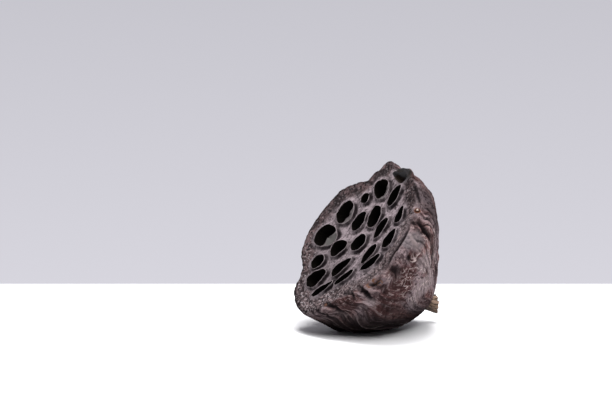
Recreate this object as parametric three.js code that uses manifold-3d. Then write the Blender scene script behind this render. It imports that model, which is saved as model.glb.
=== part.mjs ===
// Dried lotus pod lying on its side, with the face of seed pits turned to the side and up.
// Millimetres, +Z up. The pod is drawn in its own frame and then tilted to the way it lies:
// u runs up the face, v runs across it and w runs out of it along the axis of the pod.
import * as THREE from 'three';
import { mergeVertices } from 'three/addons/utils/BufferGeometryUtils.js';
import Module from 'manifold-3d';

const wasm = await Module();
wasm.setup();

// Driving dimensions
const AXIS_RISE = 36; // degrees from the floor up to the way the face looks
const BODY_DEPTH = 60; // from the rim to the root of the stem, along the axis
const BODY_RADIUS = 44; // mean radius of the pod below its lobed rim
const NECK_RADIUS = 4.6; // where the stem leaves
const PROFILE_POWER = 0.84; // fullness of the flank
const BELLY_SAG = 3.5; // how far the underside hangs out
const BELLY_POWER = 1.4; // moves the sag toward the stem
const TIP_U = -4.5; // the root of the stem sits off the axis
const TIP_V = 2;
const LOBE_FADE = 4; // how soon the lobes of the rim die out down the flank
const FACE_DISH = 3; // depth of the face at its middle
const COLLAR_HEIGHT = 1.6; // papery wall raised round each pit
const COLLAR_FOOT = 1.9; // width of that wall at its foot
const COLLAR_LIP = 0.7; // width of that wall at its top
const PIT_LEAN = 0.25; // how strongly the pits lean toward the axis with depth
const FLAP_DROP = 0.9; // dried skin left across three mouths, below the collar's top
const FLAP_THICKNESS = 0.9;
const FOLD_COUNT = 19; // dried folds that run from the rim to the stem
const FOLD_HEIGHT = 0.8;
const DENT_DEPTH = 0.7; // broad dents between the folds
const REST_CUT = 1.0; // how much of the belly is pressed flat where the pod rests
const STEM_GAP = 0.3; // seam between pod and stem stub
const STEM_LENGTH = 6.2;
const STEM_RADIUS = 3.7;
const STEM_FLARE = 0.5; // the broken end is a little wider
const STEM_RIBS = 9;
const STEM_RIB_HEIGHT = 0.25;
const STEM_SHIFT = 0.6; // up the face from the middle of the neck
const STEM_DRIFT_U = 1.4; // how far the stub bends over its length
const STEM_DRIFT_V = -0.6;
const STEM_SLANT = 1.9; // slope of the broken end
const WALL_HEIGHT = 3.3; // thin torn wall that stands out of the rim round the pocket
const WALL_ANGLE = -16; // its middle, in degrees from u toward v
const WALL_SPREAD = 11; // half of its width, in degrees
const WALL_FOOT = 0.07; // how far it runs down the flank, as a share of the depth
const AROUND = 90; // facets round the pod
const PIT_SIDES = 14;
const STEM_SIDES = 36;

// Round the rim: degrees from u toward v, then millimetres. The round is the bend from face to flank.
const RIM_RADIUS = [
  [0, 42.4], [11, 48], [19, 43], [28, 38.2], [57, 43.2], [82, 43.2], [112, 41.3], [130, 38], [150, 45.6],
  [162, 47.4], [172, 48], [190, 45.6], [206, 42.3], [248, 45], [268, 43.5], [295, 44.5], [320, 45], [345, 42.5],
];
const RIM_LIFT = [[10, 0.5], [60, 1.5], [100, 1.5], [150, 0.5], [190, 0], [220, -1], [270, -1], [320, -0.5]];
const RIM_ROUND = [[20, 2], [100, 1.4], [180, 2.6], [260, 4.5], [320, 3.5], [337, 0.9], [351, 0.9]];
const SHOULDER = [[8, 4.1], [95, -3.5], [180, -0.4], [265, 0.7]];

// Seed pits: u, v, half length, half width, turn in degrees, egg shape of the mouth, depth
const PITS = [
  { u: 29.8, v: 1.3, long: 7.5, short: 4.4, turn: 66, egg: 0.15, deep: 15, flap: 0.5 },
  { u: 28.2, v: -12.7, long: 5.7, short: 3.0, turn: -6, egg: 0.1, deep: 14 },
  { u: 22.9, v: 11.6, long: 2.8, short: 2.3, turn: 84, egg: 0.3, deep: 10 },
  { u: 12.8, v: 21.8, long: 7.0, short: 5.8, turn: 44, egg: -0.1, deep: 16, flap: 0.5 },
  { u: 10.5, v: 6.7, long: 5.3, short: 3.5, turn: -14, egg: 0.45, deep: 16 },
  { u: 14.1, v: -4.8, long: 6.4, short: 4.4, turn: 22, egg: 0, deep: 16 },
  { u: 9.2, v: -16.0, long: 5.6, short: 2.3, turn: -9, egg: 0, deep: 14 },
  { u: 17.1, v: -27.1, long: 4.4, short: 1.9, turn: 16, egg: 0.35, deep: 12 },
  { u: -2.7, v: 26.2, long: 8.3, short: 6.4, turn: 76, egg: -0.1, deep: 16, flap: 0.6 },
  { u: -7.3, v: 10.4, long: 5.1, short: 3.8, turn: -45, egg: 0.1, deep: 16 },
  { u: -1.7, v: -4.3, long: 4.7, short: 4.4, turn: -75, egg: 0.2, deep: 16 },
  { u: 3.5, v: -30.1, long: 5.0, short: 3.1, turn: 1, egg: 0.2, deep: 12 },
  { u: -6.3, v: -19.4, long: 5.5, short: 2.6, turn: -18, egg: -0.2, deep: 14 },
  { u: -11.6, v: -25.9, long: 6.5, short: 2.4, turn: -44, egg: -0.1, deep: 13 },
  { u: -17.9, v: 20.1, long: 3.8, short: 3.3, turn: -12, egg: -0.2, deep: 14 },
  { u: -27.3, v: 12.2, long: 5.4, short: 4.1, turn: -28, egg: -0.15, deep: 14 },
  { u: -17.1, v: -2.0, long: 6.4, short: 3.1, turn: -41, egg: 0.45, deep: 15 },
  { u: -22.8, v: -10.8, long: 6.0, short: 1.7, turn: -40, egg: 0, deep: 11 },
  { u: -32.2, v: 1.5, long: 6.4, short: 1.7, turn: -44, egg: 0.2, deep: 11 },
];
// Torn pocket in the rim at the top of the face
const POCKET = { u: 37.9, v: -11.5, long: 6.2, short: 3.8, turn: 76, egg: 0.05, deep: 6.5 };
const FLAP_SIDE = -105; // degrees from u toward v: the flaps hang on the near side of their mouths
const FLAP_SPREAD = 75; // half width of a flap, in degrees

const radians = THREE.MathUtils.degToRad;

// Value at an angle, eased between knots given round the circle in degrees
function around(knots, angle) {
  const turn = THREE.MathUtils.euclideanModulo(THREE.MathUtils.radToDeg(angle), 360);
  const sorted = [...knots].sort((first, second) => first[0] - second[0]);
  const last = sorted[sorted.length - 1];
  const ring = [[last[0] - 360, last[1]], ...sorted, [sorted[0][0] + 360, sorted[0][1]]];
  const index = ring.findIndex(([degrees]) => degrees > turn);
  const [startAngle, startValue] = ring[index - 1];
  const [endAngle, endValue] = ring[index];
  return THREE.MathUtils.lerp(startValue, endValue, THREE.MathUtils.smoothstep(turn, startAngle, endAngle));
}

function wallHeight(angle) {
  const turn = angle - radians(WALL_ANGLE);
  const away = Math.abs(Math.atan2(Math.sin(turn), Math.cos(turn)));
  const spread = radians(WALL_SPREAD);
  return WALL_HEIGHT * (1 - THREE.MathUtils.smoothstep(away, spread * 0.3, spread));
}

function rimRadius(angle) {
  return around(RIM_RADIUS, angle) + wallHeight(angle);
}

function faceRadius(angle) {
  return rimRadius(angle) - around(RIM_ROUND, angle);
}

// Height of the face over the rim's plane
function faceHeight(u, v) {
  const angle = Math.atan2(v, u);
  const share = Math.min(1, Math.hypot(u, v) / faceRadius(angle));
  return around(RIM_LIFT, angle) * share ** 4 - FACE_DISH * (1 - share ** 2);
}

function facePoint(angle, share) {
  const radius = faceRadius(angle) * share;
  const u = radius * Math.cos(angle);
  const v = radius * Math.sin(angle);
  return new THREE.Vector3(u, v, faceHeight(u, v));
}

function rimPoint(angle, share) {
  const bend = (share * Math.PI) / 2;
  const round = around(RIM_ROUND, angle);
  const radius = rimRadius(angle) - round * (1 - Math.sin(bend));
  const height = around(RIM_LIFT, angle) - round * (1 - Math.cos(bend));
  return new THREE.Vector3(radius * Math.cos(angle), radius * Math.sin(angle), height);
}

// Folds and dents of the dried skin, strongest half way down the flank
function foldHeight(angle, depth) {
  const drift = 1.5 * Math.sin(2 * angle + 1) + 0.9 * Math.sin(3 * angle + 2.6 * depth);
  const fold = FOLD_HEIGHT * Math.sin(FOLD_COUNT * angle + drift);
  const dent = DENT_DEPTH * Math.sin(4 * angle + 5 * depth) * Math.sin(3 * angle - 7 * depth + 1);
  return (fold + dent) * Math.sin(Math.PI * depth) ** 0.7;
}

function flankPoint(angle, depth) {
  const fade = (1 - depth) ** LOBE_FADE;
  const profile = Math.max(0, Math.cos((depth * Math.PI) / 2)) ** PROFILE_POWER;
  const lobe = (around(RIM_RADIUS, angle) - BODY_RADIUS) * fade;
  const shoulder = around(SHOULDER, angle) * Math.sin(2 * Math.PI * depth);
  const wall = wallHeight(angle) * (1 - THREE.MathUtils.smoothstep(depth, 0, WALL_FOOT));
  const bulge = shoulder + wall + foldHeight(angle, depth);
  const radius = NECK_RADIUS + (BODY_RADIUS + lobe - NECK_RADIUS) * profile + bulge;
  const sag = (BELLY_SAG * Math.sin(Math.PI * depth ** BELLY_POWER) * (1 - Math.cos(angle))) / 2;
  const height = (around(RIM_LIFT, angle) - around(RIM_ROUND, angle)) * fade - BODY_DEPTH * depth;
  const u = radius * Math.cos(angle) - sag + TIP_U * depth;
  const v = radius * Math.sin(angle) + TIP_V * depth;
  return new THREE.Vector3(u, v, height);
}

// Closed skin over rings of points, from a point above the first ring to a point below the last
function skin(rings, top, bottom) {
  const sides = rings[0].length;
  const points = [top, ...rings.flat(), bottom];
  const triangles = [];
  const end = points.length - 1;
  const lastRing = 1 + (rings.length - 1) * sides;
  for (let side = 0; side < sides; side++) {
    const next = (side + 1) % sides;
    triangles.push(0, 1 + side, 1 + next);
    triangles.push(end, lastRing + next, lastRing + side);
    for (let ring = 0; ring < rings.length - 1; ring++) {
      const upper = 1 + ring * sides;
      const lower = upper + sides;
      triangles.push(upper + side, lower + side, lower + next);
      triangles.push(upper + side, lower + next, upper + next);
    }
  }
  const geometry = new THREE.BufferGeometry();
  geometry.setAttribute('position', new THREE.Float32BufferAttribute(points.flatMap((p) => p.toArray()), 3));
  geometry.setIndex(triangles);
  return geometry;
}

function ringOf(sides, pointAt) {
  return Array.from({ length: sides }, (unused, side) => pointAt((side / sides) * 2 * Math.PI));
}

function toSolid(geometry) {
  const plain = geometry.clone();
  plain.deleteAttribute('normal');
  plain.deleteAttribute('uv');
  const merged = mergeVertices(plain, 1e-4);
  const mesh = new wasm.Mesh({
    numProp: 3,
    vertProperties: new Float32Array(merged.attributes.position.array),
    triVerts: new Uint32Array(merged.index.array),
  });
  return new wasm.Manifold(mesh);
}

function toGeometry(solid) {
  const mesh = solid.getMesh();
  const geometry = new THREE.BufferGeometry();
  geometry.setAttribute('position', new THREE.BufferAttribute(new Float32Array(mesh.vertProperties), 3));
  geometry.setIndex(new THREE.BufferAttribute(new Uint32Array(mesh.triVerts), 1));
  return geometry;
}

// Body of the pod, from the middle of the face over the rim to the root of the stem
function bodySkin() {
  const faceShares = [0.2, 0.4, 0.6, 0.8, 1];
  const rimShares = [0.35, 0.7];
  const flankRings = 15;
  const rings = faceShares.map((share) => ringOf(AROUND, (angle) => facePoint(angle, share)));
  rimShares.forEach((share) => rings.push(ringOf(AROUND, (angle) => rimPoint(angle, share))));
  for (let ring = 0; ring <= flankRings; ring++) {
    rings.push(ringOf(AROUND, (angle) => flankPoint(angle, ring / flankRings)));
  }
  return skin(rings, new THREE.Vector3(0, 0, -FACE_DISH), new THREE.Vector3(TIP_U, TIP_V, -BODY_DEPTH));
}

// Outline of a pit, widened, bitten by its flap and shrunk as asked
function pitPoint(pit, angle, { widen = 0, bite = 0, shrink = 1, height = 0 }) {
  const turn = radians(pit.turn);
  const flapAngle = radians(FLAP_SIDE) - turn;
  const away = Math.abs(Math.atan2(Math.sin(angle - flapAngle), Math.cos(angle - flapAngle)));
  const bitten = 1 - bite * (1 - THREE.MathUtils.smoothstep(away, radians(FLAP_SPREAD) * 0.6, radians(FLAP_SPREAD)));
  const along = (pit.long + widen) * Math.cos(angle) * shrink * bitten;
  const across = (pit.short + widen) * Math.sin(angle) * (1 - pit.egg * Math.cos(angle)) * shrink * bitten;
  const mouthU = pit.u + along * Math.cos(turn) - across * Math.sin(turn);
  const mouthV = pit.v + along * Math.sin(turn) + across * Math.cos(turn);
  const lean = height < 0 ? (PIT_LEAN * height) / BODY_DEPTH : 0;
  return new THREE.Vector3(mouthU + pit.u * lean, mouthV + pit.v * lean, faceHeight(mouthU, mouthV) + height);
}

function pitSkin(pit, levels, top, bottom) {
  const rings = levels.map((level) => ringOf(PIT_SIDES, (angle) => pitPoint(pit, angle, level)));
  const centre = (height) => pitPoint(pit, 0, { shrink: 0, height });
  return skin(rings, centre(top), centre(bottom));
}

function collarSkin(pit) {
  const levels = [
    { widen: COLLAR_LIP, height: COLLAR_HEIGHT },
    { widen: COLLAR_LIP + 0.5, height: COLLAR_HEIGHT * 0.45 },
    { widen: COLLAR_FOOT + 0.6, height: -1 },
  ];
  return pitSkin(pit, levels, COLLAR_HEIGHT, -1);
}

function hollowSkin(pit) {
  const mouth = COLLAR_HEIGHT;
  const levels = [{ height: mouth + 1 }];
  if (pit.flap) {
    const under = mouth - FLAP_DROP - FLAP_THICKNESS;
    levels.push({ height: mouth - FLAP_DROP });
    levels.push({ height: mouth - FLAP_DROP, bite: pit.flap });
    levels.push({ height: under, bite: pit.flap });
    levels.push({ height: under });
  }
  levels.push({ height: -pit.deep * 0.6, shrink: 0.95 });
  levels.push({ height: -pit.deep * 0.9, shrink: 0.65 });
  return pitSkin(pit, levels, mouth + 1, -pit.deep);
}

function pocketSkin() {
  const levels = [{ height: 4, shrink: 1.1 }, { height: -POCKET.deep * 0.6, shrink: 0.85 }];
  return pitSkin(POCKET, levels, 4, -POCKET.deep);
}

// Broken stub of the stem with its fibres
function stemSkin() {
  const lengths = [0, 0.3, 0.7, 1];
  const start = new THREE.Vector3(TIP_U + STEM_SHIFT, TIP_V, -BODY_DEPTH - STEM_GAP);
  const rings = lengths.map((share) => ringOf(STEM_SIDES, (angle) => {
    const rib = STEM_RIB_HEIGHT * Math.sin(STEM_RIBS * angle + share);
    const radius = STEM_RADIUS + STEM_FLARE * share ** 2 + rib;
    const ragged = share === 1 ? 0.5 * Math.sin(3 * angle + 1) + 0.3 * Math.sin(5 * angle) : 0;
    const slant = STEM_SLANT * Math.cos(angle) * share;
    const u = start.x + STEM_DRIFT_U * share + radius * Math.cos(angle);
    const v = start.y + STEM_DRIFT_V * share + radius * Math.sin(angle);
    return new THREE.Vector3(u, v, start.z - STEM_LENGTH * share + slant + ragged);
  }));
  const end = new THREE.Vector3(start.x + STEM_DRIFT_U, start.y + STEM_DRIFT_V, start.z - STEM_LENGTH + 0.4);
  return skin(rings, start, end);
}

// From the frame of the pod to the way it lies
const rise = radians(AXIS_RISE);
const tilt = new THREE.Matrix4().makeBasis(
  new THREE.Vector3(Math.sin(rise), 0, Math.cos(rise)),
  new THREE.Vector3(0, 1, 0),
  new THREE.Vector3(-Math.cos(rise), 0, Math.sin(rise)),
);

let pod = toSolid(bodySkin());
PITS.forEach((pit) => {
  pod = pod.add(toSolid(collarSkin(pit)));
});
PITS.forEach((pit) => {
  pod = pod.subtract(toSolid(hollowSkin(pit)));
});
pod = pod.subtract(toSolid(pocketSkin()));

// The belly is pressed flat where the pod rests
const lying = toGeometry(pod).applyMatrix4(tilt);
lying.computeBoundingBox();
const floor = lying.boundingBox.min.z + REST_CUT;
const below = new THREE.BoxGeometry(200, 200, 100).translate(0, 0, floor - 50);
const rested = toGeometry(toSolid(lying).subtract(toSolid(below)));

const receptacle = new THREE.Mesh(
  rested,
  new THREE.MeshStandardMaterial({ color: 0x7b6a68, roughness: 0.85, metalness: 0 }),
);
receptacle.name = 'receptacle';

const stemStub = new THREE.Mesh(
  stemSkin().applyMatrix4(tilt),
  new THREE.MeshStandardMaterial({ color: 0x6f5c46, roughness: 0.9, metalness: 0 }),
);
stemStub.name = 'stem_stub';

// The origin lies under the middle of the whole, on the floor
const lotusPod = new THREE.Group();
lotusPod.add(receptacle, stemStub);
const box = new THREE.Box3().setFromObject(lotusPod);
const middle = box.getCenter(new THREE.Vector3());
lotusPod.position.set(-middle.x, -middle.y, -box.min.z);
lotusPod.updateMatrixWorld(true);

export default lotusPod;
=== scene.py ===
"""Dried lotus pod on a plain pale table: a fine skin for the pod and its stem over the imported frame."""
import math
from collections import namedtuple

import bpy
import numpy as np
from mathutils import Matrix, Vector, geometry, kdtree


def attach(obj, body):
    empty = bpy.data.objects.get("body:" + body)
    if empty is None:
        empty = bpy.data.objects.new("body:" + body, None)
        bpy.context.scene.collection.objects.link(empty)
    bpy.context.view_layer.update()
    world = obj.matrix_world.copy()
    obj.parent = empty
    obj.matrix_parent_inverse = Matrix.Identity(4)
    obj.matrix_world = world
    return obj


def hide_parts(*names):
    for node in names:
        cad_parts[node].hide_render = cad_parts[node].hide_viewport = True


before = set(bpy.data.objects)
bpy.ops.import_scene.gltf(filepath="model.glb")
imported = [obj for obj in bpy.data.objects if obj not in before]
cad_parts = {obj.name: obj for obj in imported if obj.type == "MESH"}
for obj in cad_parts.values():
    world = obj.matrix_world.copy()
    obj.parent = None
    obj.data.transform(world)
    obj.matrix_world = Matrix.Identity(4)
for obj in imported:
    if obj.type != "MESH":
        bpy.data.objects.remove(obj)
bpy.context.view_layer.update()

MM = 0.001  # a millimetre in metres

# Driving dimensions in millimetres, in the pod's own frame: u up the face, v across it, w out of it
AXIS_RISE = math.radians(36)  # from the floor up to the way the face looks
PLACE = np.array([-13.227, 0.501, 50.004])  # middle of the rim's plane in the row frame
BODY_DEPTH = 60.0  # from the rim to the root of the stem, along the axis
BODY_RADIUS = 44.0  # mean radius of the pod below its lobed rim
NECK_RADIUS = 4.6  # where the stem leaves
PROFILE_POWER = 0.84  # fullness of the flank
BELLY_SAG = 3.5  # how far the underside hangs out
BELLY_POWER = 1.4  # moves the sag toward the stem
TIP_U = -4.5  # the root of the stem sits off the axis
TIP_V = 2.0
LOBE_FADE = 4  # how soon the lobes of the rim die out down the flank
FACE_DISH = 3.0  # depth of the face at its middle
COLLAR_HEIGHT = 1.3  # papery wall raised round each pit
PIT_LEAN = 0.25  # how strongly the pits lean toward the axis with depth
MOUTH_SPREAD = 0.35  # how far the lips stand wider than the pits
NEAR_SIDE = math.radians(-105)  # side of each pit that lies toward the viewer, where the flaps hang
FOLD_COUNT = 19  # dried folds that run from the rim to the stem
FOLD_HEIGHT = 0.8
DENT_DEPTH = 0.7  # broad dents between the folds
STEM_GAP = 0.3  # seam between pod and stem stub
STEM_LENGTH = 5.6
STEM_RADIUS = 3.7
STEM_FLARE = 0.15  # the broken end is a little wider
STEM_RIBS = 9
STEM_RIB_HEIGHT = 0.25
STEM_SHIFT = 0.6  # up the face from the middle of the neck
STEM_DRIFT_U = 2.4  # how far the stub bends over its length
STEM_DRIFT_V = -0.6
STEM_SLANT = 2.7  # slope of the broken end

# Round the rim: degrees from u toward v, then millimetres. The round is the bend from face to flank.
RIM_RADIUS = [
    (0, 42.4), (11, 48), (19, 43), (28, 38.2), (57, 43.2), (82, 43.2), (112, 41.3), (130, 38), (150, 45.6),
    (162, 47.4), (172, 48), (190, 45.6), (206, 42.3), (248, 45), (268, 43.5), (295, 44.5), (320, 45),
    (345, 42.5),
]
RIM_LIFT = [(10, 0.5), (60, 1.5), (100, 1.5), (150, 0.5), (190, 0), (220, -1), (270, -1), (320, -0.5)]
RIM_ROUND = [(20, 2), (100, 1.4), (180, 2.6), (260, 4.5), (320, 3.5), (337, 0.9), (351, 0.9)]
SHOULDER = [(8, 4.1), (95, -3.5), (180, -0.4), (265, 0.6), (312, 1.2)]
# Thin torn wall that stands out from the rim round the pocket
WALL_TOP = [(0, 0), (335, 0), (338, 0.9), (341, 2.9), (346, 3.0), (350, 2.2), (354, 1.2), (358, 0.2)]
WALL_FOOT = 0.07  # how far it runs down the flank, as a share of the depth

# Seed pits: u, v, half length, half width, turn in degrees, egg shape of the mouth, depth, flap
Pit = namedtuple("Pit", "u v long short turn egg deep flap")
PITS = [
    Pit(30.1, 2.0, 7.1, 5.0, 62, 0.1, 15, 0.35),
    Pit(27.6, -12.5, 5.9, 4.1, 2, 0.1, 14, 0),
    Pit(23.0, 11.6, 3.2, 2.7, 100, 0.1, 10, 0),
    Pit(12.8, 21.6, 7.1, 6.0, 42, -0.1, 16, 0.55),
    Pit(10.2, 6.6, 5.5, 4.4, -18, 0.3, 16, 0),
    Pit(14.2, -4.5, 6.5, 5.2, 38, 0, 16, 0),
    Pit(8.7, -16.1, 6.2, 3.5, -6, 0, 14, 0),
    Pit(17.5, -26.9, 5.0, 2.8, 17, 0.25, 12, 0),
    Pit(-2.7, 26.0, 8.4, 6.6, 80, -0.1, 16, 0.9),
    Pit(-7.2, 10.8, 5.8, 4.9, -60, 0.1, 16, 0),
    Pit(-1.7, -3.9, 5.8, 4.7, -80, 0.1, 16, 0),
    Pit(3.6, -29.5, 5.5, 4.0, -8, 0.15, 12, 0),
    Pit(-6.7, -19.1, 5.7, 3.6, -16, -0.1, 14, 0),
    Pit(-11.4, -25.7, 6.9, 2.8, -44, -0.1, 13, 0),
    Pit(-18.0, 19.7, 4.4, 4.0, -12, -0.15, 14, 0),
    Pit(-27.0, 12.9, 6.1, 5.5, -75, 0, 14, 0),
    Pit(-17.1, -1.9, 6.5, 3.9, -33, 0.25, 15, 0),
    Pit(-22.4, -10.8, 6.4, 2.3, -39, 0, 11, 0),
    Pit(-31.7, 1.4, 7.4, 2.1, -47, 0.1, 11, 0),
    Pit(38.9, -7.8, 6.4, 2.7, -100, -0.35, 7, 0),
]
POCKET = len(PITS) - 1  # the torn pit in the rim, which is shallow and not black
RAGGED = 15  # the pit with the most uneven mouth

# Walls of the pits from the mouth down: depth, share of the mouth's size, share of the flap
LIP_DROP = 0.12  # from the lip down to the flap
FLAP_SPREAD = math.radians(75)  # half width of a flap
FLAP_SAG = 0.5
FLAP_FRONT = [0.2, 0.45, 0.7, 0.88, 1.0]  # steps out to the flap's edge
FLAP_BACK = [(0.9, 0.97), (1.0, 0.5), (1.1, 0)]  # below the lip, and back to the wall
# toward its edge a flap fades into the pits' painted shading
FLAP_FADE = 1.3  # a flap gets darker toward its edge
WIDE_FLAP = 0.8  # from this share on it stays pale
UPPER_WALL = [(0.3, 0.99, 0), (0.9, 0.99, 0)]
MIDDLE_WALL = [(3.0, 0.98, 0), (5.5, 0.99, 0)]
LOWER_WALL = [(0.6, 0.95), (0.8, 0.82), (0.93, 0.55)]  # share of the pit's depth, share of the mouth's size
POCKET_WALL = [(0.25, 1.0, 0), (1.2, 0.96, 0), (2.4, 0.9, 0), (3.6, 0.8, 0), (4.6, 0.65, 0), (5.4, 0.4, 0)]

# Creases of the skin as (angle in degrees, place along the skin), then width, sink and the strength of the
# painted shading along them.
# The place is -1.06 in the middle of the face, -0.06 where the rim starts to bend, 0 at its foot and
# 1 at the stem.
RIM_START = -0.06
CREASES = [
    ([(-32, -0.05), (-41, -0.042), (-48, -0.03), (-54, -0.024)], 0.8, 1.0, 0.9),
    ([(-70, -0.046), (-80.5, -0.048), (-87.5, -0.048), (-94, -0.048), (-108, -0.05)], 0.6, 1.0, 1.0),
    ([(-67.5, -0.045), (-70, -0.031), (-72, -0.018)], 0.9, 1.4, 1.0),
    ([(-65, -0.03), (-69, 0.0), (-69.5, 0.088), (-69, 0.2), (-68, 0.26)], 1.2, 1.6, 1.0),
    ([(-51, 0.1), (-53, 0.27), (-61, 0.3), (-66, 0.52)], 1.0, 1.0, 0.8),
    ([(-68, 0.23), (-71, 0.4), (-79, 0.54)], 0.8, 0.7, 0.7),
    ([(-132.5, -0.095), (-129, -0.02), (-128.5, 0.085)], 1.1, 1.9, 1.0),
    ([(-146, -0.1), (-140, -0.06), (-137, -0.012)], 0.7, 0.8, 0.8),
    ([(-167, -0.1), (-158, -0.024), (-154, 0.104)], 1.0, 1.2, 0.9),
    ([(-175, -0.07), (-167, 0.012), (-165, 0.168)], 0.9, 1.0, 0.8),
    ([(-178, -0.03), (-172, 0.06), (-170, 0.24)], 0.8, 0.8, 0.8),
    ([(-105, -0.036), (-104, -0.006), (-104, 0.096)], 2.2, 1.8, 0.75),
    ([(-90, 0.032), (-93, 0.08)], 0.8, 0.8, 0.8),
    ([(-124, -0.052), (-119, -0.03), (-115, -0.038)], 0.8, 1.2, 0.9),
    ([(19, -0.355), (24.5, -0.455)], 0.6, 0.7, 1.0),
    ([(-77, -0.036), (-81, -0.006), (-83.5, 0.14)], 0.8, -0.7, 0),
    ([(-126, -0.045), (-120, -0.052), (-114, -0.05)], 0.7, -0.8, 0),
    ([(-55, -0.185), (-58, -0.065), (-57, -0.042)], 0.7, -0.9, 0),
    ([(-60, -0.036), (-60, -0.024)], 1.0, -1.7, 0),
]
# Patches of the skin as angle in degrees, place along the skin and radius
RED_PATCHES = [
    (-103, 0.22, 9), (-88, 0.1, 5), (-114, 0.2, 10), (-148, -0.02, 7), (-128, 0.25, 9), (-92, 0.2, 5),
]
PALE_PATCHES = [(-88, 0.53, 8), (-98, 0.54, 8), (-132, 0.1, 4), (-84, 0.3, 7), (-78, 0.42, 6)]
ASH_PATCHES = [(-83, -0.02, 5), (-80, 0.05, 6)]
GREY_PATCHES = [(-42, 0.05, 12), (-50, 0.16, 11), (-38, 0.3, 12), (-23, 0.02, 7), (-24, 0.13, 12)]
RUST_SPOTS = [(-124, -0.046, 1.7), (-119, -0.046, 1.8), (-117, -0.02, 1.8), (-167, -0.1, 1.3)]
# the nub's pale top is a painted highlight
NUB = (-60, -0.03, 3.0)  # small ringed nub on the near rim
# Round the margin of the face, by degrees: how pale it is and how much grit it has
MARGIN_TONE = [
    (0, 0.15), (60, 0.15), (105, 0.25), (130, 0.5), (180, 0.85), (240, 0.85), (285, 0.75), (320, 0.4),
]
GRIT = [(0, 0.25), (60, 0.2), (100, 0.35), (130, 0.8), (185, 0.8), (215, 0.45), (280, 0.35), (320, 0.5)]
# Places along the skin, by degrees, at which the margin and the flank start to show
MARGIN_START = [(0, -0.34), (90, -0.34), (150, -0.48), (200, -0.44), (240, -0.34)]
FLANK_START = [
    (0, -0.03), (100, -0.03), (160, -0.01), (182, -0.03), (198, -0.1), (225, -0.12), (250, -0.07),
    (300, -0.07), (330, -0.05),
]

# Fine relief: layers of noise as height, size and seed, then single heights
SKIN_GRAIN = [(0.10, 1.7, 21), (0.08, 1.0, 22)]
MARGIN_BUMPS = [(0.40, 3.2, 52), (0.30, 1.5, 53)]
WEB_RIDGE_HEIGHT = 0.15
WRINKLE_HEIGHT = 1.3
FINE_FOLD_HEIGHT = 0.36
LUMP_HEIGHT = 0.28
# Millimetres of pattern for a whole step of place: over face and rim, along the folds, over the lumps
FACE_RUN = 90
FOLD_RUN = 17
LUMP_RUN = 30

# How fine the skin is
LUMP_COUNT = 5000  # small lumps of the wrinkled flank
LUMP_START = -14  # how far they reach over the rim
AROUND = 460  # points round the pod
RIM_RINGS = 10
FLANK_RINGS = 112
MOUTH_STEP = 0.42  # between the points of a mouth
MOUTH_RINGS = [0.3, 0.62, 0.98, 1.4, 1.9, 2.5]  # rings of points round each mouth, by their distance
MOUTH_FREE = 2.75  # the even points of the face keep this far from the mouths
FACE_STEP = 0.5  # between the even points of the face
FACE_REACH = 50  # half of the square that they fill at first
FACE_JITTER = 0.12
ROW_STEP = 0.866  # height of a triangle whose sides are 1
RING_FREE = 0.2  # points of the rings keep this far from every mouth
EDGE_FREE = 0.3  # from the points of the face to its edge
EDGE_SLACK = 0.02  # triangles along the edge of the face may reach over it by this
POINT_GAP = 0.24  # width of the cells of the face that hold one point each
STEM_AROUND = 132
STEM_RINGS = 34
STEM_END = [0.9, 0.75, 0.55, 0.3]  # rings of the torn end, as shares of its width

# Colours of the skin and the stem
FLANK_BROWN = (0.200, 0.107, 0.102)
FLANK_MAUVE = (0.200, 0.154, 0.168)
RED_STAIN = (0.064, 0.028, 0.027)
RED_GLAZE = (0.07, 0.030, 0.028)
PALE_SKIN = (0.325, 0.262, 0.272)
STREAK_DARK = (0.024, 0.013, 0.013)
STREAK_PALE = (0.265, 0.200, 0.205)
GRAIN_DARK = (0.018, 0.010, 0.010)
GRAIN_PALE = (0.31, 0.235, 0.235)
ASH_GREY = (0.16, 0.138, 0.146)
SQUIGGLE = (0.48, 0.385, 0.375)
VEIN = (0.32, 0.25, 0.245)
# near black painted as shading on the flank toward the floor
UNDERSIDE_SHADE = (0.007, 0.005, 0.005)
WEB_DARK = (0.10, 0.080, 0.086)
WEB_PALE = (0.26, 0.212, 0.229)
WEB_CLOUD = (0.28, 0.233, 0.248)
WEB_SPECK = (0.025, 0.02, 0.021)
# painted shading on the webs toward the left of the face as the camera sees it
WEB_LEFT_SHADE = (0.06, 0.052, 0.055)
MARGIN_BLACK = (0.016, 0.012, 0.013)
MARGIN_BROWN = (0.105, 0.070, 0.072)
MARGIN_SOOT = (0.035, 0.026, 0.027)
MARGIN_PALE = (0.22, 0.168, 0.172)
MARGIN_SPECK = (0.02, 0.016, 0.017)
GRIT_DARK = (0.014, 0.011, 0.012)
GRIT_PALE = (0.27, 0.235, 0.245)
LIP_PALE = (0.34, 0.29, 0.295)
# near black painted as shading into the concave hollows
HOLLOW_SHADE = (0.025, 0.019, 0.020)
# pale coat on sharp ridges of the flank: partly painted highlight, partly pale wear
RIDGE_HIGHLIGHT_AND_WEAR = (0.32, 0.26, 0.26)
# near black for the painted shading of creases, collar sides and grooves, and for the darker skin of the
# far edge and grey patches
SHADE_AND_DARK_SKIN_BLACK = (0.006, 0.0045, 0.005)
RUST = (0.115, 0.056, 0.038)
NUB_RED = (0.10, 0.04, 0.022)
NUB_RING = (0.022, 0.010, 0.007)
# painted highlight on the nub's top
NUB_HIGHLIGHT = (0.36, 0.29, 0.26)
FLAP_GREY = (0.075, 0.070, 0.068)
POCKET_BROWN = (0.039, 0.029, 0.024)
POCKET_GREY = (0.059, 0.057, 0.060)
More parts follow.
